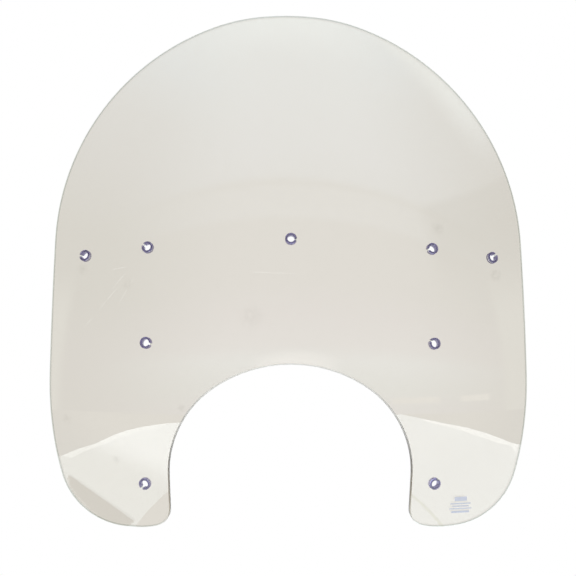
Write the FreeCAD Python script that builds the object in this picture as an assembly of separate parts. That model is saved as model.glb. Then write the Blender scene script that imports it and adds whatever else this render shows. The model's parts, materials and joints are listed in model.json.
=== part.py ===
"""Windshield screen of a touring motorcycle: one formed clear sheet with nine bushed bolt holes.

Frame: +Z up, +X to the right as seen from in front, and the bulging outer face looks along -Y.
The sheet leans as it does on the machine: its foremost line, the belt, is low down, the top leans
back and the two lobes tuck in. The origin is the middle of the top centre bush's bore. Heights and
widths named below are in front view, measured from the middle of the top centre hole.
"""
import FreeCAD
import Part
import math
import os

from FreeCAD import Vector

# ---- the formed sheet, millimetres ----
SHEET_THICKNESS = 4.5
RIM_ROUND = 1.4          # radius on both rims of the routed edge
WRAP_RADIUS = 670.0      # wrap from side to side, measured at the belt
UPPER_RADIUS = 900.0     # curve of the centre line above the belt, which leans the top back
LOWER_RADIUS = 280.0     # curve of the centre line below the belt, which tucks the lobes in
BELT_Z = -238.0

# ---- the outline: an arc is (radius, degrees turned clockwise), in line with what comes before ----
TOP_Z = 286.0
CUTOUT_TOP_Z = -144.4
SIDE_SLANT = 0.55        # degrees by which the long sides spread downwards
SIDE_LENGTH = 156.8      # straight stretch of each side
CROWN_ARCS = [(330.0, 6.0), (224.0, 14.0), (293.5, 70.0 - SIDE_SLANT)]
LOBE_OUTER_ARCS = [(400.0, 17.0), (83.0, 67.0), (170.0, 6.0 + SIDE_SLANT)]
CUTOUT_SLANT = 1.8       # degrees by which the cut-out's straight sides close in downwards
LOBE_INNER_ARCS = [(80.0, 15.0), (22.0, 75.0 + CUTOUT_SLANT)]
ARCH_ARCS = [(115.0, -55.5 - CUTOUT_SLANT), (156.9, -34.5)]

# ---- the nine holes: (name, across, up, where its bush is slit) ----
# a slit's direction is in degrees anticlockwise from +X, seen from in front
INNER_X = 167.0
OUTER_X = 242.0
INNER_Z = -10.0
OUTER_Z = -19.5
MIDDLE_Z = -120.8
LOWER_Z = -282.5
HOLE_RADIUS = 5.6
HOLES = [
    ("top_centre", 0.0, 0.0, -10.0),
    ("inner_left", -INNER_X, INNER_Z, 135.0),
    ("inner_right", INNER_X, INNER_Z, 210.0),
    ("outer_left", -OUTER_X, OUTER_Z, 160.0),
    ("outer_right", OUTER_X, OUTER_Z, 60.0),
    ("middle_left", -INNER_X, MIDDLE_Z, -30.0),
    ("middle_right", INNER_X, MIDDLE_Z, 160.0),
    ("lower_left", -INNER_X, LOWER_Z, 220.0),
    ("lower_right", INNER_X, LOWER_Z, 70.0),
]

# ---- the soft slit bush that lines each hole ----
BUSH_BORE_RADIUS = 4.25
BUSH_NECK_RADIUS = 5.5   # 0.1 mm clear of the hole
BUSH_LIP_RADIUS = 6.8
BUSH_LIP_THICKNESS = 1.15
FRONT_GAP = 0.05         # from the lip to the outer face, which curves away from it
BACK_GAP = 0.18          # from the lip to the inner face, which curves towards it
LIP_ROUND = 0.5
MOUTH_ROUND = 0.35
SLIT_WIDTH = 2.4         # the bush is sprung into its hole through this slit
BUSH_FRONT = FRONT_GAP + BUSH_LIP_THICKNESS
BUSH_BACK = -SHEET_THICKNESS - BACK_GAP - BUSH_LIP_THICKNESS
BUSH_MIDDLE = (BUSH_FRONT + BUSH_BACK) / 2

# ---- the printed mark on the right lobe: plain bars, each (drop, width, height) ----
MARK_X = 199.0
MARK_Z = -301.5
MARK_BARS = [(0.0, 15.0, 5.0), (-5.6, 25.0, 1.4), (-8.6, 20.0, 1.4), (-11.6, 27.0, 1.4),
             (-15.6, 22.0, 2.4)]
MARK_REACH = 25.0        # height of curved layer that the bars are cut from, each way
INK_HEIGHT = 0.15        # build-up of the ink
INK_LIFT = 0.02          # keeps the ink's solids clear of the sheet

# ---- how far the forming and cutting shapes run past the sheet ----
BLANK_MARGIN = 8.0
WRAP_ANGLE = 35.0        # degrees revolved to each side
CUTTER_FRONT = -100.0
CUTTER_BACK = 420.0
SAME = 0.01              # lengths closer than this are equal


def centre_line_radius(z):
    return UPPER_RADIUS if z > BELT_Z else LOWER_RADIUS


def wrap_radius(z):
    """Wrap radius at a height: the centre line's setback from the belt comes off it."""
    radius = centre_line_radius(z)
    return WRAP_RADIUS - radius + math.sqrt(radius ** 2 - (z - BELT_Z) ** 2)


def outer_point(x, z):
    """The point of the outer face at x across and z up."""
    return Vector(x, WRAP_RADIUS - math.sqrt(wrap_radius(z) ** 2 - x ** 2), z)


def outward_normal(x, z):
    """Unit normal of the outer face there, pointing to the front."""
    rise = z - BELT_Z
    slope = rise / math.sqrt(centre_line_radius(z) ** 2 - rise ** 2)
    normal = Vector(x, outer_point(x, z).y - WRAP_RADIUS, wrap_radius(z) * slope)
    return normal.normalize()


def bore_centre(x, z):
    """Middle of the bore of the bush in the hole at x, z."""
    return outer_point(x, z) + outward_normal(x, z) * BUSH_MIDDLE


def centre_line_arc(z_from, z_to, lift):
    """Arc of the centre line on one side of the belt, moved out of the outer face by lift."""
    radius = centre_line_radius(max(z_from, z_to))
    points = []
    for z in (z_from, (z_from + z_to) / 2, z_to):
        turn = math.asin((z - BELT_Z) / radius)
        outward = Vector(0, -math.cos(turn), math.sin(turn))
        points.append(Vector(0, radius, BELT_Z) + outward * (radius + lift))
    return Part.Arc(*points).toShape()


def revolve_about_wrap_axis(shape):
    """Sweep a centre-line shape round the upright axis that gives the sheet its wrap."""
    axis_point = Vector(0, WRAP_RADIUS, 0)
    upright = Vector(0, 0, 1)
    started = shape.copy()
    started.rotate(axis_point, upright, -WRAP_ANGLE)
    return started.revolve(axis_point, upright, 2 * WRAP_ANGLE)


class Pen:
    """Draws lines and tangent arcs in front view, keeping its place and its heading in degrees."""

    def __init__(self, x, z, heading):
        self.place = Vector(x, 0, z)
        self.heading = heading
        self.edges = []

    def side(self, turn):
        """Unit vector to the pen's right once it has turned clockwise by this much."""
        angle = math.radians(self.heading - turn)
        return Vector(math.sin(angle), 0, -math.cos(angle))

    def line(self, length):
        end = self.place + self.side(-90.0) * length
        self.edges.append(Part.makeLine(self.place, end))
        self.place = end

    def arc(self, radius, turn):
        inward = math.copysign(radius, turn)
        centre = self.place + self.side(0.0) * inward
        middle = centre - self.side(turn / 2) * inward
        end = centre - self.side(turn) * inward
        self.edges.append(Part.Arc(self.place, middle, end).toShape())
        self.place = end
        self.heading -= turn

    def arcs(self, run):
        for radius, turn in run:
            self.arc(radius, turn)


def reach_of(run, heading):
    """How far a run of arcs carries the pen across and up."""
    pen = Pen(0.0, 0.0, heading)
    pen.arcs(run)
    return pen.place


def outline_wire():
    """The closed outline: right half from the crown to the top of the cut-out, then its mirror."""
    inner_reach = reach_of(LOBE_INNER_ARCS, 180.0)
    arch_reach = reach_of(ARCH_ARCS, 90.0 - CUTOUT_SLANT)
    pen = Pen(0.0, TOP_Z, 0.0)
    pen.arcs(CROWN_ARCS)
    pen.line(SIDE_LENGTH)
    pen.arcs(LOBE_OUTER_ARCS)
    side_up = CUTOUT_TOP_Z - arch_reach.z - pen.place.z - inner_reach.z
    side_across = side_up * math.tan(math.radians(CUTOUT_SLANT))
    pen.line(pen.place.x + inner_reach.x + side_across + arch_reach.x)
    pen.arcs(LOBE_INNER_ARCS)
    pen.line(math.hypot(side_up, side_across))
    pen.arcs(ARCH_ARCS)
    left_half = [edge.mirror(Vector(0, 0, 0), Vector(1, 0, 0)) for edge in pen.edges]
    return Part.Wire(Part.__sortEdges__(pen.edges + left_half))


def cut_through(wire):
    """Straight prism of a front-view outline, from in front of the sheet to behind it."""
    face = Part.Face(wire)
    face.translate(Vector(0, CUTTER_FRONT, 0))
    return face.extrude(Vector(0, CUTTER_BACK - CUTTER_FRONT, 0))


def make_blank():
    """The formed and routed sheet, with its cut edges square to its faces."""
    outline = outline_wire()
    lower = centre_line_arc(outline.BoundBox.ZMin - BLANK_MARGIN, BELT_Z, 0.0)
    upper = centre_line_arc(BELT_Z, TOP_Z + BLANK_MARGIN, 0.0)
    formed = revolve_about_wrap_axis(Part.Wire([lower, upper]))
    outer_face = Part.Shell(formed.common(cut_through(outline)).Faces)
    return outer_face.makeOffsetShape(-SHEET_THICKNESS, 0.1 * SAME, fill=True)


def is_rim(edge):
    """Whether an edge follows the outline, rather than the belt or the sheet's thickness."""
    heights = [vertex.Z for vertex in edge.Vertexes]
    middle = edge.valueAt((edge.FirstParameter + edge.LastParameter) / 2)
    level = max(heights) - min(heights) < SAME
    along_belt = level and abs(middle.z - BELT_Z) < SHEET_THICKNESS
    across_thickness = edge.Length < SHEET_THICKNESS + SAME
    return not along_belt and not across_thickness


def make_screen():
    """The finished sheet: rims rounded all round, and nine holes square to its faces."""
    blank = make_blank()
    screen = blank.makeFillet(RIM_ROUND, [edge for edge in blank.Edges if is_rim(edge)])
    for _, x, z, _ in HOLES:
        outward = outward_normal(x, z)
        start = outer_point(x, z) + outward * SHEET_THICKNESS
        drill = Part.makeCylinder(HOLE_RADIUS, 3 * SHEET_THICKNESS, start, -outward)
        screen = screen.cut(drill)
    return screen.Solids[0]


def end_circles(shape, radius):
    """The circles of this radius on a bush's two end faces."""
    found = []
    for edge in shape.Edges:
        box = edge.BoundBox
        flat = box.ZLength < SAME and abs(box.XLength - 2 * radius) < SAME
        if flat and min(abs(box.ZMin - BUSH_FRONT), abs(box.ZMin - BUSH_BACK)) < SAME:
            found.append(edge)
    return found


def make_whole_bush():
    """One bush without its slit, its bore along +Z and the sheet's outer face at z = 0."""
    length = BUSH_FRONT - BUSH_BACK
    body = Part.makeCylinder(BUSH_NECK_RADIUS, length, Vector(0, 0, BUSH_BACK))
    for foot in (FRONT_GAP, BUSH_BACK):
        lip = Part.makeCylinder(BUSH_LIP_RADIUS, BUSH_LIP_THICKNESS, Vector(0, 0, foot))
        body = body.fuse(lip)
    body = body.removeSplitter()
    body = body.makeFillet(LIP_ROUND, end_circles(body, BUSH_LIP_RADIUS))
    body = body.cut(Part.makeCylinder(BUSH_BORE_RADIUS, length, Vector(0, 0, BUSH_BACK)))
    return body.makeFillet(MOUTH_ROUND, end_circles(body, BUSH_BORE_RADIUS)).Solids[0]


def slit_bush(whole, direction):
    """Copy of the bush, slit along its whole length at this direction from its middle."""
    length = BUSH_FRONT - BUSH_BACK
    corner = Vector(0, -SLIT_WIDTH / 2, BUSH_BACK)
    cutter = Part.makeBox(2 * BUSH_LIP_RADIUS, SLIT_WIDTH, length, corner)
    cutter.rotate(Vector(0, 0, 0), Vector(0, 0, 1), direction)
    return whole.cut(cutter).Solids[0]


def place_in_hole(bush, x, z):
    """Copy of the bush, turned from +Z to the normal of the hole at x, z."""
    placed = bush.copy()
    turn = FreeCAD.Rotation(Vector(0, 0, 1), outward_normal(x, z))
    placed.Placement = FreeCAD.Placement(outer_point(x, z), turn)
    return placed


def ink_layer(z_low, z_high):
    """Thin curved layer just off the outer face, below the belt."""
    near = centre_line_arc(z_low, z_high, INK_LIFT)
    far = centre_line_arc(z_low, z_high, INK_LIFT + INK_HEIGHT)
    ends = [Part.makeLine(near.valueAt(near.FirstParameter), far.valueAt(far.FirstParameter)),
            Part.makeLine(near.valueAt(near.LastParameter), far.valueAt(far.LastParameter))]
    return revolve_about_wrap_axis(Part.Face(Part.Wire(Part.__sortEdges__([near, far] + ends))))


def make_print_mark():
    """Plain bars of ink, one solid each."""
    layer = ink_layer(MARK_Z - MARK_REACH, MARK_Z + MARK_REACH)
    bars = []
    for drop, width, height in MARK_BARS:
        corner = Vector(MARK_X - width / 2, CUTTER_FRONT, MARK_Z + drop - height / 2)
        cutter = Part.makeBox(width, CUTTER_BACK - CUTTER_FRONT, height, corner)
        bars += layer.common(cutter).Solids
    return Part.makeCompound(bars)


def save(name, shape):
    """Write one sub-part, moved so that the top centre bore's middle is the origin."""
    moved = shape.copy()
    moved.translate(-bore_centre(0.0, 0.0))
    moved.exportStep("parts/" + name + ".step")
    print(f"{name}: {len(moved.Solids)} solid, valid {moved.isValid()}, {moved.Volume:.0f} mm3")


def report_bore(x, z):
    """Print where a bush's bore lies, how long its straight wall is, and which way it faces."""
    centre = bore_centre(x, z) - bore_centre(0.0, 0.0)
    axis = outward_normal(x, z)
    wall = BUSH_FRONT - BUSH_BACK - 2 * MOUTH_ROUND
    print(f"  bore centre {centre.x:.4f} {centre.y:.4f} {centre.z:.4f} wall {wall:.3f}",
          f"axis {axis.x:.7f} {axis.y:.7f} {axis.z:.7f}")


def main():
    os.makedirs("parts", exist_ok=True)
    save("screen", make_screen())
    whole = make_whole_bush()
    for name, x, z, slit_direction in HOLES:
        save("bush_" + name, place_in_hole(slit_bush(whole, slit_direction), x, z))
        report_bore(x, z)
    save("print_mark", make_print_mark())


main()
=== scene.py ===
"""Windshield screen: the formed clear sheet, its nine soft bushes and its printed mark, in metres.

Sizes below are in millimetres, in the sheet's own front-view measures: across and up from the middle
of the top centre hole. frame_point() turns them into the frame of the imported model.
"""
import json
import math

import bpy
import numpy as np
from mathutils import Matrix, Vector
from mathutils.geometry import delaunay_2d_cdt
from mathutils.kdtree import KDTree

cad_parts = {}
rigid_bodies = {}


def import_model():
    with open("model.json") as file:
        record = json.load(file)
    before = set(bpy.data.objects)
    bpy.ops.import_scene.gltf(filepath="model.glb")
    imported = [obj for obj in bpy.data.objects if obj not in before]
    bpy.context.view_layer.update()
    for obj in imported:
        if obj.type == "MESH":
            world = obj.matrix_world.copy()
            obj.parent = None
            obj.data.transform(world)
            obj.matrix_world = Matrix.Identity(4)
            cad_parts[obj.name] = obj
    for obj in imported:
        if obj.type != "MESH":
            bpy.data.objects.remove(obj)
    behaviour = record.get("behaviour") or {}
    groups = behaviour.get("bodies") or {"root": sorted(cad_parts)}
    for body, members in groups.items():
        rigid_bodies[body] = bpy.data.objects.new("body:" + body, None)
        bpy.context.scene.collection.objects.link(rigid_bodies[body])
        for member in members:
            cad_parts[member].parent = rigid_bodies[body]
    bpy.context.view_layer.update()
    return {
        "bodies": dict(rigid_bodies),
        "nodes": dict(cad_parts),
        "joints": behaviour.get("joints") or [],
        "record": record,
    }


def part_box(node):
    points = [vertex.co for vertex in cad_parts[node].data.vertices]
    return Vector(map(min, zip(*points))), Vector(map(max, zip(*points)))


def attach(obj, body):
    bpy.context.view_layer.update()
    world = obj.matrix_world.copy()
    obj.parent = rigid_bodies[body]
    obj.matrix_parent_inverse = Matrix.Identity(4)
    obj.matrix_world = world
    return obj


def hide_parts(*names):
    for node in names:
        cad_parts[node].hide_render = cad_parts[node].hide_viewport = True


MM = 0.001

# ---- the formed sheet ----
SHEET_THICKNESS = 4.5
RIM_ROUND = 1.4
WRAP_RADIUS = 670.0
UPPER_RADIUS = 900.0
LOWER_RADIUS = 280.0
BELT_Z = -238.0

# ---- the outline: an arc is (radius, degrees turned clockwise), in line with what comes before ----
TOP_Z = 286.0
CUTOUT_TOP_Z = -144.4
SIDE_SLANT = 0.55
SIDE_LENGTH = 156.8
CROWN_ARCS = [(330.0, 6.0), (224.0, 14.0), (293.5, 70.0 - SIDE_SLANT)]
LOBE_OUTER_ARCS = [(400.0, 17.0), (83.0, 67.0), (170.0, 6.0 + SIDE_SLANT)]
CUTOUT_SLANT = 1.8
LOBE_INNER_ARCS = [(80.0, 15.0), (22.0, 75.0 + CUTOUT_SLANT)]
ARCH_ARCS = [(115.0, -55.5 - CUTOUT_SLANT), (156.9, -34.5)]

# ---- the nine holes ----
INNER_X = 167.0
OUTER_X = 242.0
INNER_Z = -10.0
OUTER_Z = -19.5
MIDDLE_Z = -120.8
LOWER_Z = -282.5
HOLE_RADIUS = 5.6
HOLE_BREAK = 0.3         # break on the holes' edges
HOLES = [                # name, across, up, direction of the bush's slit in degrees
    ("top_centre", 0.0, 0.0, -10.0),
    ("inner_left", -INNER_X, INNER_Z, 135.0),
    ("inner_right", INNER_X, INNER_Z, 210.0),
    ("outer_left", -OUTER_X, OUTER_Z, 160.0),
    ("outer_right", OUTER_X, OUTER_Z, 60.0),
    ("middle_left", -INNER_X, MIDDLE_Z, -30.0),
    ("middle_right", INNER_X, MIDDLE_Z, 160.0),
    ("lower_left", -INNER_X, LOWER_Z, 220.0),
    ("lower_right", INNER_X, LOWER_Z, 70.0),
]

# ---- the slit bush ----
BORE_RADIUS = 4.25
NECK_RADIUS = 5.5
LIP_RADIUS = 6.8
LIP_THICKNESS = 1.15
FRONT_GAP = 0.05
BACK_GAP = 0.18
LIP_ROUND = 0.5
MOUTH_ROUND = 0.35
UNDER_ROUND = 0.15       # under the lips and at their roots
SLIT_WIDTH = 2.4
SLIT_ROUND = 0.28
BUSH_FRONT = FRONT_GAP + LIP_THICKNESS
BUSH_BACK = -SHEET_THICKNESS - BACK_GAP - LIP_THICKNESS
BUSH_MIDDLE = (BUSH_FRONT + BUSH_BACK) / 2
BUSH_STEPS = 72          # round the bush
CORNER_STEPS = 5

# ---- the clear plastic ----
POLISHED, SATIN, CLEAR_CUT = 0, 1, 2     # finishes, as material indices
CUTOUT_REACH = 145.0     # of the clear-cut edge, to each side
SHEET_IOR = 1.58
SHEET_TINT = (0.886, 0.8625, 0.815)
SHEET_DENSITY = 60.0     # of the absorption, per metre
SHEET_COLOUR = (0.748, 0.719, 0.659)
# Darker tint over the finger marks and over the painted shadow under the two outer bushes
SMUDGE_AND_SHADOW_COLOUR = (0.675, 0.645, 0.585)
SCRATCHED_COLOUR = (0.82, 0.80, 0.75)
LEAST_HAZE = 0.005       # roughness of the clean faces, and how much it varies
HAZE_RANGE = 0.012
SMUDGE_AND_SHADOW_ROUGHNESS = 0.08
SCRATCH_ROUGHNESS = 0.2
HAZE_GRAIN = 35.0        # grains are noise scales per metre
SMUDGE_AND_SHADOW_GRAIN = 260.0
SCRATCH_GRAIN = 120.0
WAVE_GRAIN = 7.0
WAVE_DEPTH = 0.0002      # depths are in metres
# The two marks just below the outer holes are painted shadow under those bushes; the others are finger marks
SMUDGES_AND_SHADOWS = [              # across, up, radius, how much they dull the sheet
    (-125.0, -195.0, 7.0, 1.0),
    (-200.0, -255.0, 7.0, 1.0),
    (-260.0, -210.0, 10.0, 0.6),
    (175.0, 15.0, 12.0, 0.7),
    (245.0, -40.0, 11.0, 1.0),
    (-245.0, -35.0, 10.0, 0.8),
    (-45.0, -90.0, 20.0, 0.5),
    (-190.0, -55.0, 10.0, 0.5),
]
SCRATCHES = [            # across, up, lean in degrees, how far it reaches each way
    (-200.0, -50.0, 50.0, 15.0),
    (-220.0, -80.0, 50.0, 35.0),
    (-20.0, -40.0, -2.0, 35.0),
    (-200.0, -35.0, 10.0, 10.0),
    (-190.0, -60.0, 60.0, 20.0),
]
SCRATCH_REACH = 0.5      # across it

# ---- the cut edges: name, colour, transmission, roughness, glow ----
SATIN_EDGE = ("satin_edge", (0.32, 0.32, 0.30), 0.0, 0.5, 0.45)
CLEAR_CUT_EDGE = ("clear_cut_edge", (0.95, 0.95, 0.91), 1.0, 0.55, 0.0)
EDGE_GLOW = (0.97, 1.0, 0.96)
EDGE_GRAIN = 900.0
EDGE_GRAIN_DEPTH = 0.00004
EDGE_GRAIN_SHADE = 0.92  # of the grain's darker parts

# ---- the vinyl and the ink ----
VINYL_COLOURS = (0.41, 0.36, 0.57), (0.47, 0.42, 0.63)
VINYL_TINT = (0.42, 0.38, 0.55)
VINYL_DENSITY = 320.0
VINYL_IOR = 1.53
VINYL_MOTTLE = 350.0
VINYL_SKIN = 1800.0
VINYL_SKIN_DEPTH = 0.00003
INK_COLOURS = (0.46, 0.49, 0.60), (0.60, 0.63, 0.70)
INK_ROUGHNESS = 0.55
INK_WEAR = 1500.0

# ---- how finely the sheet is meshed ----
OUTLINE_STEP = 2.4
HOLE_STEPS = 48
GRID_STEP = 7.0
GRID_CLEARANCE = 3.6     # from the grid's points to the outline and the holes
RIM_STEPS = 5
BREAK_STEPS = 2

# ---- the camera, metres and degrees ----
CAMERA_PLACE = (-0.0550, -1.6343, -0.0699)
CAMERA_YAW = 1.816       # turned to the right of +Y
CAMERA_PITCH = 0.467     # tipped up
CAMERA_ROLL = 0.226
CAMERA_LENS = 88.3

# ---- the studio, as the sheet mirrors it ----
WALL_AZIMUTH = 8.0       # middle of the lit wall in front, degrees
WALL_FADE = (15.0, 62.0)
WALL_STOPS = [           # height up the lit wall and over the ceiling in degrees, and its light
    (0.0, (1.20, 1.20, 1.40)),
    (5.0, (1.30, 1.50, 1.60)),
    (10.0, (1.60, 1.80, 2.00)),
    (13.0, (1.40, 1.40, 1.60)),
    (19.0, (1.25, 1.20, 1.40)),
    (25.0, (1.10, 1.10, 1.20)),
    (36.6, (1.05, 1.08, 1.15)),
    (38.2, (1.25, 1.35, 1.50)),
    (43.4, (1.22, 1.32, 1.45)),
    (44.2, (1.05, 1.12, 1.20)),
    (46.0, (1.32, 1.50, 1.75)),
    (52.0, (1.42, 1.63, 1.95)),
    (72.0, (1.53, 1.84, 2.16)),
    (80.0, (1.90, 2.30, 2.60)),
]
SIDE_STOPS = [           # height up the dim sides of the room in degrees, and its light
    (0.0, (0.60, 0.60, 0.65)),
    (11.0, (0.58, 0.58, 0.66)),
    (20.0, (0.42, 0.46, 0.46)),
    (30.0, (0.45, 0.50, 0.50)),
    (43.0, (0.75, 0.85, 1.00)),
    (53.0, (0.95, 1.10, 1.30)),
    (64.0, (1.25, 1.60, 1.95)),
    (80.0, (1.90, 2.30, 2.60)),
]
# Below, a pair of angles is where a patch of light fades in: from the first angle to the second
BLOCK_SIDE = (38.0, 45.0)            # azimuth of a dim block on the right
BLOCK_TOP = (38.0, 36.0)             # its heights
BLOCK_FOOT = (18.0, 32.0)
BLOCK_SHADE = -0.4
WINDOW_LIGHT = (0.95, 1.02, 1.02)    # of the windows far to either side
WINDOW_SIDE = (53.5, 56.5)
WINDOW_TOP = (25.0, 14.0)
LAMP_PLACE = (3.0, 9.0)              # azimuth and height of a glow on the lit wall
LAMP_SPREAD = (12.0, 3.5)
LAMP_LIGHT = (2.3, 2.4, 2.6)
SLITS = [(27.0, 37.0, 2.0), (44.0, 50.0, 1.5)]    # two low bright slits: azimuths and soft margin
SLIT_HEIGHTS = (1.9, 2.5, 0.4)
SLIT_LIGHT = (1.5, 1.5, 1.5)
HIGH_SIDE = (62.0, 74.0)             # a bright corner high on the right
HIGH_FOOT = (38.0, 52.0)
HIGH_LIGHT = (1.7, 2.0, 2.2)
ROOM_END = (-0.1, 0.15)              # share of a direction along +Y, where the room turns plain
WHITE = (1.0, 1.0, 1.0)
DIM_FLOOR = (0.60, 0.62, 0.66)
# Light of a dark patch of floor in front of the left lobe, seen only in the mirror; it darkens the left
# lobe's lower corner
DARK_PATCH_LIGHT = (0.10, 0.08, 0.04)
SEAM_LIGHT = (1.60, 1.90, 1.70)
FLOOR_DROP = 0.0006      # from the lobes to the floor
SHEET_STEP = 0.0001      # between the sheets that lie on it

# Bowed edges on the floor, in metres: start, heading in degrees, radius (below 0 turns right), length
PAPER_LEFT_EDGE = ((-0.58, -0.20), 233.5, 7.0, 3.6)
PAPER_RIGHT_EDGE = ((0.98, -0.40), -50.0, -9.0, 2.0)
GLOW_LEFT_EDGE = ((-0.53, -0.20), 233.5, 4.2, 2.2)
GLOW_RIGHT_EDGE = ((0.93, -0.42), -56.5, -18.0, 3.2)
# Edge of the dark patch of floor that darkens the left lobe's lower corner in the mirror
DARK_PATCH_EDGE = ((-0.39, -0.075), 44.0, -0.34, 0.225)
BOW_STEPS = 12


def bowed_edge(start, heading, radius, length):
    """Points along one arc on the floor."""
    angle = math.radians(heading)
    points = []
    for step in range(BOW_STEPS + 1):
        turn = angle + length * step / BOW_STEPS / radius
        points.append((start[0] + radius * (math.sin(turn) - math.sin(angle)),
                       start[1] - radius * (math.cos(turn) - math.cos(angle))))
    return points


PAPER_LEFT = bowed_edge(*PAPER_LEFT_EDGE)
PAPER_RIGHT = bowed_edge(*PAPER_RIGHT_EDGE)
GLOW_LEFT = bowed_edge(*GLOW_LEFT_EDGE)
GLOW_RIGHT = bowed_edge(*GLOW_RIGHT_EDGE)
DARK_FLOOR = bowed_edge(*DARK_PATCH_EDGE) + [(-0.185, 0.0)]
PLINTH = [(-0.181, -0.20), (-0.12, -0.20), (-0.12, 0.30), (-0.176, 0.30)]
SEAM = [(0.176, -0.13), (0.181, -0.13), (0.181, 0.10), (0.176, 0.10)]
FLOOR_SHEETS = [         # name, corners in metres, light mirrored from aside and from ahead
    ("floor", [(-30, -30), (30, -30), (30, 30), (-30, 30)], DIM_FLOOR, (0.95, 0.95, 0.95)),
    ("paper_left", PAPER_LEFT + [(-1.9, -29.0), (0.0, -29.0), (0.0, 0.6), (-0.8, 0.6), (-0.8, 0.0)],
     (1.92, 2.15, 2.27), (3.10, 3.40, 3.65)),
    ("paper_right", [(0.0, -29.0), (15.8, -29.0)] + PAPER_RIGHT[::-1] + [(0.9, 0.6), (0.0, 0.6)],
     (2.32, 2.60, 2.85), (2.50, 2.78, 3.03)),
    ("dark_floor", DARK_FLOOR, DARK_PATCH_LIGHT, DARK_PATCH_LIGHT),
    ("glow_left", PAPER_LEFT + GLOW_LEFT[::-1], (2.80, 3.05, 3.20), (3.50, 3.80, 4.05)),
    ("glow_right", PAPER_RIGHT + [(4.5, -6.8)] + GLOW_RIGHT[::-1] + [(0.6, -0.18)],
     (3.30, 3.55, 3.80), (3.50, 3.75, 4.00)),
    ("paper_seam", SEAM, SEAM_LIGHT, SEAM_LIGHT),
    ("plinth", PLINTH, WHITE, WHITE),
    ("side_right", [(0.42, 0.6), (0.42, -0.03), (0.98, -0.30), (30.0, -9.0), (30.0, 0.6)],
     DIM_FLOOR, DIM_FLOOR),
    ("side_left", [(-30.0, 0.6), (-30.0, -9.0), (-0.98, -0.30), (-0.42, -0.03), (-0.42, 0.6)],
     DIM_FLOOR, DIM_FLOOR),
]
AHEAD_FADE = (64.0, 42.0)            # degrees from straight ahead, from aside light to ahead light
BEHIND_FADE = (0.06, 0.22)           # metres behind the middle hole, where all of the floor turns plain
BEHIND_LIGHT = (0.95, 0.97, 1.00)


def centre_line_radius(z):
    return UPPER_RADIUS if z > BELT_Z else LOWER_RADIUS


def wrap_radius(z):
    """Wrap radius at a height: the centre line's setback from the belt comes off it."""
    radius = centre_line_radius(z)
    return WRAP_RADIUS - radius + math.sqrt(radius ** 2 - (z - BELT_Z) ** 2)


def outer_point(x, z):
    """The point of the outer face at x across and z up."""
    return Vector((x, WRAP_RADIUS - math.sqrt(wrap_radius(z) ** 2 - x ** 2), z))


def outward_normal(x, z):
    """Unit normal of the outer face there, pointing to the front."""
    rise = z - BELT_Z
    slope = rise / math.sqrt(centre_line_radius(z) ** 2 - rise ** 2)
    return Vector((x, outer_point(x, z).y - WRAP_RADIUS, wrap_radius(z) * slope)).normalized()


ORIGIN = outer_point(0.0, 0.0) + outward_normal(0.0, 0.0) * BUSH_MIDDLE


def frame_point(point):
    """A point of the sheet's own measures, in the frame, in metres."""
    return (point - ORIGIN) * MM


class Pen:
    """Walks along lines and tangent arcs in front view, dropping points as it goes."""

    def __init__(self, x, z, heading):
        self.x = x
        self.z = z
        self.heading = heading
        self.points = []

    def move(self, length):
        angle = math.radians(self.heading)
        self.x += length * math.cos(angle)
        self.z += length * math.sin(angle)

    def line(self, length):
        steps = max(1, round(length / OUTLINE_STEP))
        for _ in range(steps):
            self.points.append((self.x, self.z))
            self.move(length / steps)

    def arc(self, radius, turn):
        steps = max(1, round(radius * math.radians(abs(turn)) / OUTLINE_STEP))
        chord = 2 * radius * math.sin(math.radians(abs(turn)) / steps / 2)
        for _ in range(steps):
            self.points.append((self.x, self.z))
            self.heading -= turn / steps / 2
            self.move(chord)
            self.heading -= turn / steps / 2

    def arcs(self, run):
        for radius, turn in run:
            self.arc(radius, turn)


def reach_of(run, heading):
    """How far a run of arcs carries the pen across and up."""
    pen = Pen(0.0, 0.0, heading)
    pen.arcs(run)
    return pen.x, pen.z


def outline_loop():
    """Points round the outline, clockwise as seen from in front."""
    inner_across, inner_up = reach_of(LOBE_INNER_ARCS, 180.0)
    arch_across, arch_up = reach_of(ARCH_ARCS, 90.0 - CUTOUT_SLANT)
    pen = Pen(0.0, TOP_Z, 0.0)
    pen.arcs(CROWN_ARCS)
    pen.line(SIDE_LENGTH)
    pen.arcs(LOBE_OUTER_ARCS)
    side_up = CUTOUT_TOP_Z - arch_up - pen.z - inner_up
    side_across = side_up * math.tan(math.radians(CUTOUT_SLANT))
    pen.line(pen.x + inner_across + side_across + arch_across)
    pen.arcs(LOBE_INNER_ARCS)
    pen.line(math.hypot(side_up, side_across))
    pen.arcs(ARCH_ARCS)
    right = pen.points
    foot = (0.0, CUTOUT_TOP_Z)
    left = [(-x, z) for x, z in reversed(right[1:])]
    return right + [foot] + left


def hole_loop(x, z):
    """Points round a hole, anticlockwise as seen from in front, so that the sheet is on the right."""
    normal = outward_normal(x, z)
    across = normal.cross(Vector((0, 0, 1))).normalized()
    up = across.cross(normal) * -1.0
    loop = []
    for step in range(HOLE_STEPS):
        angle = 2 * math.pi * step / HOLE_STEPS
        place = outer_point(x, z) + (across * math.cos(angle) + up * math.sin(angle)) * HOLE_RADIUS
        loop.append((place.x, place.z))
    if signed_area(loop) < 0:
        loop.reverse()
    return loop


def signed_area(loop):
    """Area of a loop in front view, positive when it runs anticlockwise."""
    total = 0.0
    for (x0, z0), (x1, z1) in zip(loop, loop[1:] + loop[:1]):
        total += (x0 * z1 - x1 * z0) / 2
    return total


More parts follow.
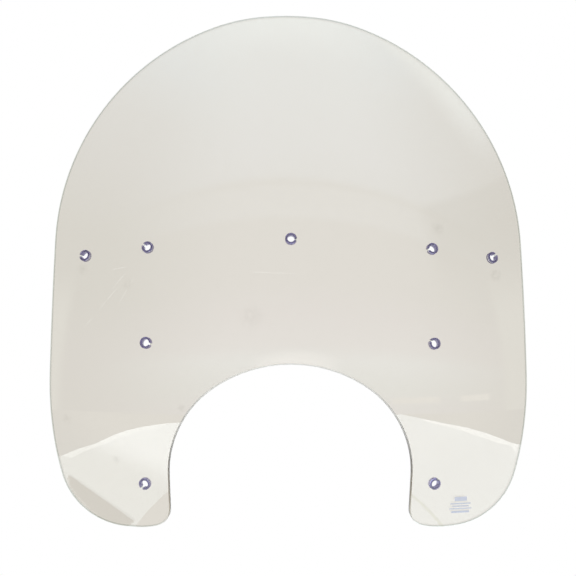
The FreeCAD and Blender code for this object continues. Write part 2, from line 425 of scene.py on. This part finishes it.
def edge_frames(loop):
    """For each point of a loop: its place, the face's normal and the way out of the sheet."""
    places = [outer_point(x, z) for x, z in loop]
    frames = []
    for index, (x, z) in enumerate(loop):
        ahead = places[(index + 1) % len(loop)]
        behind = places[index - 1]
        normal = outward_normal(x, z)
        out = normal.cross(ahead - behind).normalized()
        frames.append((places[index], normal, out))
    return frames


def edge_profile(round_radius, steps):
    """Rows across the sheet's edge: (set in, set back, turn from the face's normal in degrees)."""
    rows = []
    for step in range(steps + 1):
        turn = 90.0 * step / steps
        angle = math.radians(turn)
        rows.append((round_radius * (1 - math.sin(angle)), round_radius * (1 - math.cos(angle)), turn))
    return rows + [(inset, SHEET_THICKNESS - back, 180.0 - turn) for inset, back, turn in reversed(rows)]


def inside(points, loop):
    """Which points lie inside a loop, in front view."""
    px, pz = points[:, 0], points[:, 1]
    found = np.zeros(len(points), bool)
    for (x0, z0), (x1, z1) in zip(loop, loop[1:] + loop[:1]):
        if z0 == z1:
            continue
        crosses = (pz < z0) != (pz < z1)
        found ^= crosses & (px < x0 + (pz - z0) * (x1 - x0) / (z1 - z0))
    return found


def grid_points(loops):
    """Evenly spaced points of the sheet's faces, clear of its outline and holes."""
    tree = KDTree(sum(len(loop) for loop in loops))
    for index, (x, z) in enumerate(point for loop in loops for point in loop):
        tree.insert((x, z, 0.0), index)
    tree.balance()
    reach = math.ceil(2 * TOP_Z / GRID_STEP)
    steps = np.arange(-reach, reach + 1) * GRID_STEP
    across, up = np.meshgrid(steps, steps)
    points = np.column_stack([across.ravel(), up.ravel()])
    keep = inside(points, loops[0])
    for loop in loops[1:]:
        keep &= ~inside(points, loop)
    return [(x, z) for x, z in points[keep] if tree.find((x, z, 0.0))[2] > GRID_CLEARANCE]


def face_triangles(loops, grid):
    """Triangles over the sheet between its outline and its holes, with the points that they use."""
    points = []
    edges = []
    for loop in loops:
        start = len(points)
        points += loop
        edges += [(start + i, start + (i + 1) % len(loop)) for i in range(len(loop))]
    points += grid
    found = delaunay_2d_cdt([Vector(p) for p in points], edges, [], 0, 1e-6)
    if len(found[0]) != len(points):
        raise ValueError("the outline's points run into each other")
    origin = [ids[0] for ids in found[3]]
    triangles = np.array([[origin[i] for i in face] for face in found[2]])
    flat = np.array(points)
    middles = flat[triangles].mean(axis=1)
    keep = inside(middles, loops[0])
    for loop in loops[1:]:
        keep &= ~inside(middles, loop)
    return points, triangles[keep].tolist()


class SheetMesh:
    """Vertices, normals and faces of the sheet as they are gathered."""

    def __init__(self):
        self.places = []
        self.normals = []
        self.faces = []
        self.finishes = []

    def vertex(self, place, normal):
        self.places.append(frame_point(place))
        self.normals.append(normal)
        return len(self.places) - 1

    def face(self, corners, finish):
        self.faces.append(corners)
        self.finishes.append(finish)


def set_in(frames, amount):
    """A loop moved into the sheet by an amount, in front view."""
    return [((place - out * amount).x, (place - out * amount).z) for place, _, out in frames]


def edge_finish(place):
    """The cut-out's edge is clear from the cutter; the rest of the outline and the holes are satin."""
    in_cutout = abs(place.x) < CUTOUT_REACH and place.z < CUTOUT_TOP_Z + RIM_ROUND
    return CLEAR_CUT if in_cutout else SATIN


def add_edge(mesh, frames, profile, first_row, last_row):
    """Join the outer face's loop to the inner face's with rounded rims and a flat wall."""
    rows = [first_row]
    for inset, back, turn in profile[1:-1]:
        angle = math.radians(turn)
        row = []
        for place, normal, out in frames:
            facing = normal * math.cos(angle) + out * math.sin(angle)
            row.append(mesh.vertex(place - out * inset - normal * back, facing))
        rows.append(row)
    rows.append(last_row)
    count = len(frames)
    for upper, lower in zip(rows, rows[1:]):
        for i in range(count):
            j = (i + 1) % count
            mesh.face((upper[i], upper[j], lower[j], lower[i]), edge_finish(frames[i][0]))


def build_sheet():
    """The whole sheet as one closed mesh object with smooth true normals."""
    outline = outline_loop()
    frames = [edge_frames(outline)] + [edge_frames(hole_loop(x, z)) for _, x, z, _ in HOLES]
    insets = [RIM_ROUND] + [HOLE_BREAK] * len(HOLES)
    loops = [set_in(frame, inset) for frame, inset in zip(frames, insets)]
    points, triangles = face_triangles(loops, grid_points(loops))
    mesh = SheetMesh()
    outer = []
    inner = []
    for x, z in points:
        normal = outward_normal(x, z)
        place = outer_point(x, z)
        outer.append(mesh.vertex(place, normal))
        inner.append(mesh.vertex(place - normal * SHEET_THICKNESS, -normal))
    for a, b, c in triangles:
        mesh.face((outer[a], outer[b], outer[c]), POLISHED)
        mesh.face((inner[c], inner[b], inner[a]), POLISHED)
    start = 0
    for frame, inset in zip(frames, insets):
        steps = RIM_STEPS if inset == RIM_ROUND else BREAK_STEPS
        row = range(start, start + len(frame))
        add_edge(mesh, frame, edge_profile(inset, steps), [outer[i] for i in row], [inner[i] for i in row])
        start += len(frame)
    return sheet_object("clear_sheet", mesh)


def new_object(name, places, faces):
    """A smooth-shaded mesh object, linked to the scene."""
    data = bpy.data.meshes.new(name)
    data.from_pydata(places, [], faces)
    data.validate()
    data.polygons.foreach_set("use_smooth", np.ones(len(data.polygons), bool))
    made = bpy.data.objects.new(name, data)
    bpy.context.scene.collection.objects.link(made)
    return made


def sheet_object(name, mesh):
    made = new_object(name, mesh.places, mesh.faces)
    made.data.polygons.foreach_set("material_index", mesh.finishes)
    made.data.normals_split_custom_set_from_vertices(mesh.normals)
    return made


# ---- the bushes ----
def corner_points(centre_r, centre_h, radius, start):
    """A quarter turn clockwise round a corner of the bush's section."""
    points = []
    for step in range(CORNER_STEPS + 1):
        angle = math.radians(start - 90.0 * step / CORNER_STEPS)
        points.append((centre_r + radius * math.cos(angle), centre_h + radius * math.sin(angle)))
    return points


def bush_section():
    """The section of the bush, as (radius, height off the outer face), clockwise from the bore."""
    back_lip = -SHEET_THICKNESS - BACK_GAP
    points = corner_points(BORE_RADIUS + MOUTH_ROUND, BUSH_FRONT - MOUTH_ROUND, MOUTH_ROUND, 180.0)
    points += corner_points(LIP_RADIUS - LIP_ROUND, BUSH_FRONT - LIP_ROUND, LIP_ROUND, 90.0)
    points += corner_points(LIP_RADIUS - UNDER_ROUND, FRONT_GAP + UNDER_ROUND, UNDER_ROUND, 0.0)
    points += [(NECK_RADIUS + UNDER_ROUND, FRONT_GAP), (NECK_RADIUS, FRONT_GAP - UNDER_ROUND)]
    points += [(NECK_RADIUS, back_lip + UNDER_ROUND), (NECK_RADIUS + UNDER_ROUND, back_lip)]
    points += corner_points(LIP_RADIUS - UNDER_ROUND, back_lip - UNDER_ROUND, UNDER_ROUND, 90.0)
    points += corner_points(LIP_RADIUS - LIP_ROUND, BUSH_BACK + LIP_ROUND, LIP_ROUND, 0.0)
    points += corner_points(BORE_RADIUS + MOUTH_ROUND, BUSH_BACK + MOUTH_ROUND, MOUTH_ROUND, 270.0)
    return points


def shrunk(section, amount):
    """The section drawn in by an amount all round."""
    drawn = []
    for index, (r, h) in enumerate(section):
        r0, h0 = section[index - 1]
        r1, h1 = section[(index + 1) % len(section)]
        length = math.hypot(r1 - r0, h1 - h0)
        drawn.append((r + (h1 - h0) / length * amount, h - (r1 - r0) / length * amount))
    return drawn


def bush_rings(section, slit_direction):
    """Rings of points from one lip of the slit round to the other."""
    ends = []
    for step in range(CORNER_STEPS + 1):
        angle = math.radians(90.0 * step / CORNER_STEPS)
        inset = SLIT_ROUND * (1 - math.sin(angle))
        ends.append((SLIT_WIDTH / 2 + SLIT_ROUND * (1 - math.cos(angle)), shrunk(section, inset)))
    rings = [(0.0, gap, points) for gap, points in ends]
    gap = ends[-1][0]
    rings += [(step / BUSH_STEPS, gap, section) for step in range(1, BUSH_STEPS)]
    rings += [(1.0, gap, points) for gap, points in reversed(ends)]
    placed = []
    for share, gap, points in rings:
        ring = []
        for r, h in points:
            start = math.asin(gap / r)
            turn = start + (2 * math.pi - 2 * start) * share + math.radians(slit_direction)
            ring.append(Vector((r * math.cos(turn), r * math.sin(turn), h)))
        placed.append(ring)
    return placed


def build_bush(name, x, z, slit_direction):
    """One bush, round its slit from end to end, set square in its hole."""
    rings = bush_rings(bush_section(), slit_direction)
    count = len(rings[0])
    turn = Vector((0, 0, 1)).rotation_difference(outward_normal(x, z))
    foot = outer_point(x, z)
    places = [frame_point(foot + turn @ point) for ring in rings for point in ring]
    faces = []
    for ring in range(len(rings) - 1):
        for index in range(count):
            a = ring * count + index
            b = ring * count + (index + 1) % count
            faces.append((a, b, b + count, a + count))
    last = (len(rings) - 1) * count
    faces.append(tuple(reversed(range(count))))
    faces.append(tuple(range(last, last + count)))
    made = new_object("slit_bush_" + name, places, faces)
    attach(made, "root")
    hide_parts("bush_" + name)
    return made


# ---- materials ----
def math_node(tree, operation, *values):
    """A math node whose inputs are numbers or other nodes' outputs; gives its output."""
    node = tree.nodes.new("ShaderNodeMath")
    node.operation = operation
    for socket, value in zip(node.inputs, values):
        if isinstance(value, (int, float)):
            socket.default_value = value
        else:
            tree.links.new(value, socket)
    return node.outputs["Value"]


def step_node(tree, value, low, high):
    """0 below low, 1 above high, and a smooth step between them."""
    node = tree.nodes.new("ShaderNodeMapRange")
    node.interpolation_type = "SMOOTHSTEP"
    node.inputs["From Min"].default_value = low
    node.inputs["From Max"].default_value = high
    tree.links.new(value, node.inputs["Value"])
    return node.outputs["Result"]


def band_node(tree, value, low, high, soft):
    """1 between low and high, fading to 0 over a soft margin outside them."""
    rise = step_node(tree, value, low - soft, low)
    fall = step_node(tree, value, high + soft, high)
    return math_node(tree, "MULTIPLY", rise, fall)


def ramp_node(tree, factor, stops):
    """A colour ramp over a factor from 0 to 1."""
    node = tree.nodes.new("ShaderNodeValToRGB")
    ramp = node.color_ramp
    while len(ramp.elements) > 1:
        ramp.elements.remove(ramp.elements[0])
    for index, (position, colour) in enumerate(stops):
        stop = ramp.elements[0] if index == 0 else ramp.elements.new(position)
        stop.position = position
        stop.color = (*colour, 1.0)
    tree.links.new(factor, node.inputs["Fac"])
    return node.outputs["Color"]


def mix_colours(tree, factor, first, second):
    """A mix of two colours, each a plain colour or another node's output."""
    node = tree.nodes.new("ShaderNodeMix")
    node.data_type = "RGBA"
    tree.links.new(factor, node.inputs["Factor"])
    for socket, colour in ((node.inputs["A"], first), (node.inputs["B"], second)):
        if isinstance(colour, tuple):
            socket.default_value = (*colour, 1.0)
        else:
            tree.links.new(colour, socket)
    return node.outputs["Result"]


def scaled_colour(tree, colour, factor):
    node = tree.nodes.new("ShaderNodeVectorMath")
    node.operation = "SCALE"
    tree.links.new(colour, node.inputs[0])
    tree.links.new(factor, node.inputs["Scale"])
    return node.outputs["Vector"]


def noise_node(tree, scale, detail):
    """Noise over the object, from 0 to 1, at a scale per metre."""
    noise = tree.nodes.new("ShaderNodeTexNoise")
    noise.inputs["Scale"].default_value = scale
    noise.inputs["Detail"].default_value = detail
    place = tree.nodes.new("ShaderNodeTexCoord").outputs["Object"]
    tree.links.new(place, noise.inputs["Vector"])
    return noise.outputs["Fac"]


def add_bump(tree, height, depth):
    """Raise the surface by a height from 0 to 1, times a depth in metres."""
    bump = tree.nodes.new("ShaderNodeBump")
    bump.inputs["Distance"].default_value = depth
    tree.links.new(height, bump.inputs["Height"])
    tree.links.new(bump.outputs["Normal"], tree.nodes["Principled BSDF"].inputs["Normal"])


def smudge_and_shadow_node(tree):
    """How smudged and shaded the sheet is: a few uneven finger marks, and painted shadow under the two outer
    bushes.
    """
    total = 0.0
    place = tree.nodes.new("ShaderNodeTexCoord").outputs["Object"]
    for x, z, radius, strength in SMUDGES_AND_SHADOWS:
        apart = tree.nodes.new("ShaderNodeVectorMath")
        apart.operation = "DISTANCE"
        apart.inputs[1].default_value = frame_point(outer_point(x, z))
        tree.links.new(place, apart.inputs[0])
        share = step_node(tree, apart.outputs["Value"], radius * MM, 0.2 * radius * MM)
        total = math_node(tree, "MULTIPLY_ADD", share, strength, total)
    uneven = step_node(tree, noise_node(tree, SMUDGE_AND_SHADOW_GRAIN, 2.0), 0.30, 0.60)
    return math_node(tree, "MULTIPLY", total, uneven)


def hairline_node(tree, x, z, lean, reach):
    """1 along the middle of a hairline scratch and 0 off it."""
    mapping = tree.nodes.new("ShaderNodeMapping")
    mapping.vector_type = "TEXTURE"
    mapping.inputs["Location"].default_value = frame_point(outer_point(x, z))
    mapping.inputs["Rotation"].default_value = (0.0, math.radians(-lean), 0.0)
    mapping.inputs["Scale"].default_value = (reach * MM, 1.0, SCRATCH_REACH * MM)
    tree.links.new(tree.nodes.new("ShaderNodeTexCoord").outputs["Object"], mapping.inputs["Vector"])
    split = tree.nodes.new("ShaderNodeSeparateXYZ")
    tree.links.new(mapping.outputs["Vector"], split.inputs[0])
    along = step_node(tree, math_node(tree, "ABSOLUTE", split.outputs["X"]), 1.0, 0.5)
    across = step_node(tree, math_node(tree, "ABSOLUTE", split.outputs["Z"]), 1.0, 0.2)
    return math_node(tree, "MULTIPLY", along, across)


def scratch_node(tree):
    """How scratched the sheet is: a few broken hairlines."""
    total = 0.0
    for x, z, lean, reach in SCRATCHES:
        total = math_node(tree, "ADD", hairline_node(tree, x, z, lean, reach), total)
    broken = step_node(tree, noise_node(tree, SCRATCH_GRAIN, 1.0), 0.35, 0.55)
    return math_node(tree, "MULTIPLY", total, broken)


def clear_material():
    """Hard-coated polycarbonate with a faint warm grey tint, hairline scratches, finger marks and painted
    shadow under the two outer bushes.
    """
    material = bpy.data.materials.new("clear_sheet")
    material.use_nodes = True
    tree = material.node_tree
    shader = tree.nodes["Principled BSDF"]
    smudges_and_shadows = smudge_and_shadow_node(tree)
    scratches = scratch_node(tree)
    # Darker over the finger marks and over the painted shadow under the two outer bushes
    tint = mix_colours(tree, smudges_and_shadows, SHEET_COLOUR, SMUDGE_AND_SHADOW_COLOUR)
    tint = mix_colours(tree, scratches, tint, SCRATCHED_COLOUR)
    tree.links.new(tint, shader.inputs["Base Color"])
    haze = math_node(tree, "MULTIPLY_ADD", noise_node(tree, HAZE_GRAIN, 3.0), HAZE_RANGE, LEAST_HAZE)
    dulled = math_node(tree, "MULTIPLY_ADD", smudges_and_shadows, SMUDGE_AND_SHADOW_ROUGHNESS, haze)
    roughness = math_node(tree, "MULTIPLY_ADD", scratches, SCRATCH_ROUGHNESS, dulled)
    tree.links.new(roughness, shader.inputs["Roughness"])
    shader.inputs["Transmission Weight"].default_value = 1.0
    shader.inputs["IOR"].default_value = SHEET_IOR
    add_bump(tree, noise_node(tree, WAVE_GRAIN, 0.0), WAVE_DEPTH)
    absorb(tree, SHEET_TINT, SHEET_DENSITY)
    return material


def edge_material(name, colour, transmission, roughness, glow):
    """The same plastic where its edge was cut, with the cutter's fine grain.

    The glow is an emission that stands in for light that the sheet pipes out to its edge.
    """
    material = bpy.data.materials.new(name)
    material.use_nodes = True
    tree = material.node_tree
    shader = tree.nodes["Principled BSDF"]
    grain = noise_node(tree, EDGE_GRAIN, 2.0)
    duller = tuple(EDGE_GRAIN_SHADE * value for value in colour)
    shade = mix_colours(tree, step_node(tree, grain, 0.3, 0.7), colour, duller)
    tree.links.new(shade, shader.inputs["Base Color"])
    tree.links.new(math_node(tree, "MULTIPLY_ADD", grain, 0.2, roughness - 0.1), shader.inputs["Roughness"])
    shader.inputs["Transmission Weight"].default_value = transmission
    shader.inputs["IOR"].default_value = SHEET_IOR
    shader.inputs["Emission Color"].default_value = (*EDGE_GLOW, 1.0)
    shader.inputs["Emission Strength"].default_value = glow
    add_bump(tree, grain, EDGE_GRAIN_DEPTH)
    absorb(tree, SHEET_TINT, SHEET_DENSITY)
    return material


def absorb(tree, colour, density):
    """Let the solid swallow light by plain absorption."""
    volume = tree.nodes.new("ShaderNodeVolumeAbsorption")
    volume.inputs["Color"].default_value = (*colour, 1.0)
    volume.inputs["Density"].default_value = density
    tree.links.new(volume.outputs["Volume"], tree.nodes["Material Output"].inputs["Volume"])


def vinyl_material():
    """Soft vinyl, violet where it is deep, with the mottle and dull skin of a moulding."""
    material = bpy.data.materials.new("bush_vinyl")
    material.use_nodes = True
    tree = material.node_tree
    shader = tree.nodes["Principled BSDF"]
    mottle = step_node(tree, noise_node(tree, VINYL_MOTTLE, 2.0), 0.35, 0.65)
    tree.links.new(mix_colours(tree, mottle, *VINYL_COLOURS), shader.inputs["Base Color"])
    tree.links.new(math_node(tree, "MULTIPLY_ADD", mottle, 0.14, 0.23), shader.inputs["Roughness"])
    shader.inputs["Transmission Weight"].default_value = 1.0
    shader.inputs["IOR"].default_value = VINYL_IOR
    add_bump(tree, noise_node(tree, VINYL_SKIN, 2.0), VINYL_SKIN_DEPTH)
    absorb(tree, VINYL_TINT, VINYL_DENSITY)
    return material


def ink_material():
    """Thin screen-printed ink, patchy where it has worn."""
    material = bpy.data.materials.new("print_ink")
    material.use_nodes = True
    tree = material.node_tree
    shader = tree.nodes["Principled BSDF"]
    worn = step_node(tree, noise_node(tree, INK_WEAR, 2.0), 0.35, 0.65)
    tree.links.new(mix_colours(tree, worn, *INK_COLOURS), shader.inputs["Base Color"])
    shader.inputs["Roughness"].default_value = INK_ROUGHNESS
    return material


# ---- studio ----
def add_camera():
    camera = bpy.data.cameras.new("camera")
    camera.lens = CAMERA_LENS
    camera.sensor_width = 36.0
    camera.clip_end = 100.0
    holder = bpy.data.objects.new("camera", camera)
    turn = Matrix.Rotation(math.radians(-CAMERA_YAW), 4, "Z")
    tip = Matrix.Rotation(math.radians(90.0 + CAMERA_PITCH), 4, "X")
    roll = Matrix.Rotation(math.radians(CAMERA_ROLL), 4, "Z")
    holder.matrix_world = Matrix.Translation(CAMERA_PLACE) @ turn @ tip @ roll
    bpy.context.scene.collection.objects.link(holder)
    bpy.context.scene.camera = holder


def mirrored_only(tree):
    """1 for light that the sheet has mirrored at least once, otherwise 0."""
    path = tree.nodes.new("ShaderNodeLightPath")
    return math_node(tree, "GREATER_THAN", path.outputs["Glossy Depth"], 0.5)


def in_degrees(tree, angle):
    return math_node(tree, "MULTIPLY", angle, 180.0 / math.pi)


def sky_angles(tree):
    """Azimuth, height and height over the wall of a direction in degrees, and its share along +Y."""
    coordinates = tree.nodes.new("ShaderNodeTexCoord")
    split = tree.nodes.new("ShaderNodeSeparateXYZ")
    tree.links.new(coordinates.outputs["Generated"], split.inputs[0])
    across, along, up = split.outputs
    forward = math_node(tree, "MULTIPLY", along, -1.0)
    azimuth = in_degrees(tree, math_node(tree, "ARCTAN2", across, forward))
    height = in_degrees(tree, math_node(tree, "ARCSINE", up))
    wall_height = in_degrees(tree, math_node(tree, "ARCTAN2", up, forward))
    return azimuth, height, wall_height, along


def height_ramp(tree, height, stops):
    """Light by height, from a list of heights in degrees and their lights."""
    share = math_node(tree, "DIVIDE", height, 90.0)
    return ramp_node(tree, share, [(stop / 90.0, light) for stop, light in stops])


def wall_light(tree, azimuth, height, wall_height):
    """The lit wall in front, fading into the dim sides of the room."""
    lit_wall = height_ramp(tree, wall_height, WALL_STOPS)
    dim_sides = height_ramp(tree, height, SIDE_STOPS)
    aside = math_node(tree, "ABSOLUTE", math_node(tree, "SUBTRACT", azimuth, WALL_AZIMUTH))
    return mix_colours(tree, step_node(tree, aside, *WALL_FADE), lit_wall, dim_sides)


def block_node(tree, azimuth, height):
    """1 on the dim block on the right."""
    rows = math_node(tree, "MULTIPLY", step_node(tree, height, *BLOCK_TOP),
                     step_node(tree, height, *BLOCK_FOOT))
    return math_node(tree, "MULTIPLY", rows, step_node(tree, azimuth, *BLOCK_SIDE))


def window_node(tree, azimuth, height):
    """1 at the windows far to either side."""
    sides = step_node(tree, math_node(tree, "ABSOLUTE", azimuth), *WINDOW_SIDE)
    return math_node(tree, "MULTIPLY", sides, step_node(tree, height, *WINDOW_TOP))


def lamp_node(tree, azimuth, height):
    """1 in the middle of the glow on the lit wall, falling to 0 at its rim."""
    reach = 0.0
    for angle, middle, spread in zip((azimuth, height), LAMP_PLACE, LAMP_SPREAD):
        share = math_node(tree, "DIVIDE", math_node(tree, "SUBTRACT", angle, middle), spread)
        square = math_node(tree, "POWER", math_node(tree, "ABSOLUTE", share), 2.0)
        reach = math_node(tree, "ADD", square, reach)
    return step_node(tree, reach, 1.0, 0.0)


def slit_node(tree, azimuth, height):
    """1 on the two low bright slits."""
    slits = 0.0
    for first, last, soft in SLITS:
        slits = math_node(tree, "ADD", band_node(tree, azimuth, first, last, soft), slits)
    return math_node(tree, "MULTIPLY", slits, band_node(tree, height, *SLIT_HEIGHTS))


def high_node(tree, azimuth, height):
    """1 in the bright corner high on the right."""
    return math_node(tree, "MULTIPLY", step_node(tree, azimuth, *HIGH_SIDE),
                     step_node(tree, height, *HIGH_FOOT))


def build_world():
    """White all round; what the clear sheet mirrors is a room with a lit wall and a pale ceiling."""
    world = bpy.data.worlds.new("studio")
    bpy.context.scene.world = world
    world.use_nodes = True
    tree = world.node_tree
    azimuth, height, wall_height, along = sky_angles(tree)
    room = wall_light(tree, azimuth, height, wall_height)
    shade = math_node(tree, "MULTIPLY_ADD", block_node(tree, azimuth, height), BLOCK_SHADE, 1.0)
    room = scaled_colour(tree, room, shade)
    room = mix_colours(tree, window_node(tree, azimuth, height), room, WINDOW_LIGHT)
    room = mix_colours(tree, lamp_node(tree, azimuth, height), room, LAMP_LIGHT)
    room = mix_colours(tree, slit_node(tree, azimuth, height), room, SLIT_LIGHT)
    room = mix_colours(tree, high_node(tree, azimuth, height), room, HIGH_LIGHT)
    room = mix_colours(tree, step_node(tree, along, *ROOM_END), room, BEHIND_LIGHT)
    seen = mix_colours(tree, mirrored_only(tree), WHITE, room)
    tree.links.new(seen, tree.nodes["Background"].inputs["Color"])


def stage_sheet(name, corners, level, aside_light, ahead_light):
    """A flat sheet of the studio: white when looked at, and another light in the mirror."""
    data = bpy.data.meshes.new(name)
    data.from_pydata([(x, y, level) for x, y in corners], [], [tuple(range(len(corners)))])
    made = bpy.data.objects.new(name, data)
    bpy.context.scene.collection.objects.link(made)
    material = bpy.data.materials.new(name)
    material.use_nodes = True
    tree = material.node_tree
    place = tree.nodes.new("ShaderNodeNewGeometry").outputs["Position"]
    split = tree.nodes.new("ShaderNodeSeparateXYZ")
    tree.links.new(place, split.inputs[0])
    turn = math_node(tree, "ARCTAN2", math_node(tree, "ABSOLUTE", split.outputs["X"]),
                     math_node(tree, "MULTIPLY", split.outputs["Y"], -1.0))
    light = mix_colours(tree, step_node(tree, in_degrees(tree, turn), *AHEAD_FADE), aside_light, ahead_light)
    light = mix_colours(tree, step_node(tree, split.outputs["Y"], *BEHIND_FADE), light, BEHIND_LIGHT)
    glow = tree.nodes.new("ShaderNodeEmission")
    tree.links.new(mix_colours(tree, mirrored_only(tree), WHITE, light), glow.inputs["Color"])
    tree.links.new(glow.outputs[0], tree.nodes["Material Output"].inputs["Surface"])
    data.materials.append(material)


def build_floor():
    """The pale floor, with the white paper and the plinth that the lobes mirror."""
    low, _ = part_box("screen")
    level = low.z - FLOOR_DROP
    for index, (name, corners, aside_light, ahead_light) in enumerate(FLOOR_SHEETS):
        stage_sheet(name, corners, level + index * SHEET_STEP, aside_light, ahead_light)


def main():
    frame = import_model()
    add_camera()
    build_world()
    build_floor()
    sheet = build_sheet()
    sheet.data.materials.append(clear_material())
    sheet.data.materials.append(edge_material(*SATIN_EDGE))
    sheet.data.materials.append(edge_material(*CLEAR_CUT_EDGE))
    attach(sheet, "root")
    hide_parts("screen")
    vinyl = vinyl_material()
    for name, x, z, slit_direction in HOLES:
        build_bush(name, x, z, slit_direction).data.materials.append(vinyl)
    mark = frame["nodes"]["print_mark"]
    mark.data.materials.clear()
    mark.data.materials.append(ink_material())
    scene = bpy.context.scene
    scene.view_settings.view_transform = "Standard"


main()
